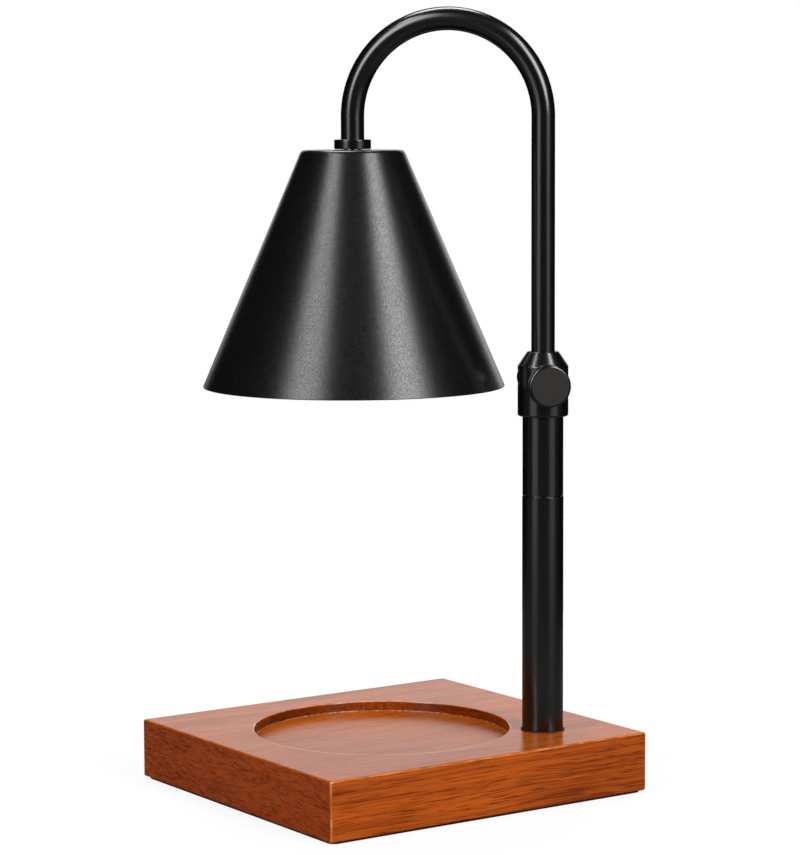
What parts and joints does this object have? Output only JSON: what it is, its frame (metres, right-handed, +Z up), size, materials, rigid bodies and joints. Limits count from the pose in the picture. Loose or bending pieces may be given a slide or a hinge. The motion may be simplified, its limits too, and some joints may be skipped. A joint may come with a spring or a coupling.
{
  "type": "candle warmer lamp",
  "caption": "Candle warmer lamp: wooden base with a round candle recess, post with a clamp collar, bent swing arm and a conical shade over a reflector bulb.",
  "frame": {"origin": "centre of the base's underside, on the surface it stands on", "axes": "+Z up, +X along the base's long side towards the face with the cord gland, +Y away from the side where the post stands"},
  "size_m": [0.1539, 0.1456, 0.314],
  "materials": {
    "wood": "glossy lacquer over reddish brown wood",
    "black_metal": "satin black paint on steel",
    "black_powder": "fine textured black powder coat on sheet steel",
    "knob_grey": "matt dark grey",
    "black_rubber": "matt",
    "steel": "zinc plated",
    "brass": "plain",
    "nylon": "natural nylon",
    "ceramic": "unglazed ceramic",
    "silicone": "silicone sleeve",
    "mirror": "mirrored glass",
    "clear_glass": "clear"
  },
  "bodies": {
    "base": {"base_pad": "black_rubber", "wood_base": "wood", "cover_plate": "steel", "cover_screw_1": "steel", "cover_screw_2": "steel", "cover_screw_3": "steel", "cover_screw_4": "steel", "cord_gland": "black_rubber", "terminal_block": "nylon", "terminal_screw_1": "brass", "terminal_screw_2": "brass", "base_lead": "silicone", "post_gasket": "black_rubber", "post_nipple": "steel", "nipple_washer": "steel", "nipple_nut": "steel", "foot_plug": "steel", "lower_tube": "black_metal", "post_joiner": "steel", "upper_tube": "black_metal", "collar": "black_metal", "collar_screw": "black_metal", "post_lead": "silicone"},
    "swivel": {"arm_bush": "nylon"},
    "arm": {"arm_tube": "black_metal", "arm_stop_ring": "steel", "arm_grommet": "nylon", "arm_lead": "silicone", "shade": "black_powder", "shade_collar": "black_metal", "shade_nipple": "steel", "shade_washer": "steel", "shade_nut": "steel", "socket_stirrup": "steel", "stirrup_screw_1": "steel", "stirrup_screw_2": "steel", "lamp_socket": "ceramic", "socket_contact_1": "brass", "socket_contact_2": "brass"},
    "bulb": {"bulb_cap": "ceramic", "bulb_pin_1": "steel", "bulb_pin_2": "steel", "bulb_reflector": "mirror", "bulb_capsule": "clear_glass", "bulb_lens": "clear_glass"},
    "clamp": {"clamp_pad": "brass"},
    "knob": {"lock_screw": "steel", "lock_knob": "knob_grey"}
  },
  "joints": [
    {"name": "arm_swivel", "type": "hinge", "parent": "base", "child": "swivel", "pos_m": [0.04585, -0.04075, 0.1624], "axis": [0, 0, 1], "range_deg": [-170, 50]},
    {"name": "arm_slide", "type": "slide", "parent": "swivel", "child": "arm", "axis": [0, 0, 1], "range_m": [-0.04, 0.06], "deforming": ["post_lead"]},
    {"name": "bulb_twist", "type": "hinge", "parent": "arm", "child": "bulb", "pos_m": [-0.00764, 0.01464, 0.231], "axis": [0, 0, -1], "range_deg": [0, 20]},
    {"name": "clamp_travel", "type": "slide", "parent": "base", "child": "clamp", "axis": [-0.4337, -0.9011, 0], "range_m": [0, 0.00081]},
    {"name": "knob_turn", "type": "hinge", "parent": "clamp", "child": "knob", "pos_m": [0.03935, -0.05425, 0.1643], "axis": [-0.4337, -0.9011, 0], "range_deg": [0, 360]}
  ],
  "couplings": [
    {"joint": "clamp_travel", "follows": "knob_turn", "m_per_rad": 0.00012732}
  ]
}
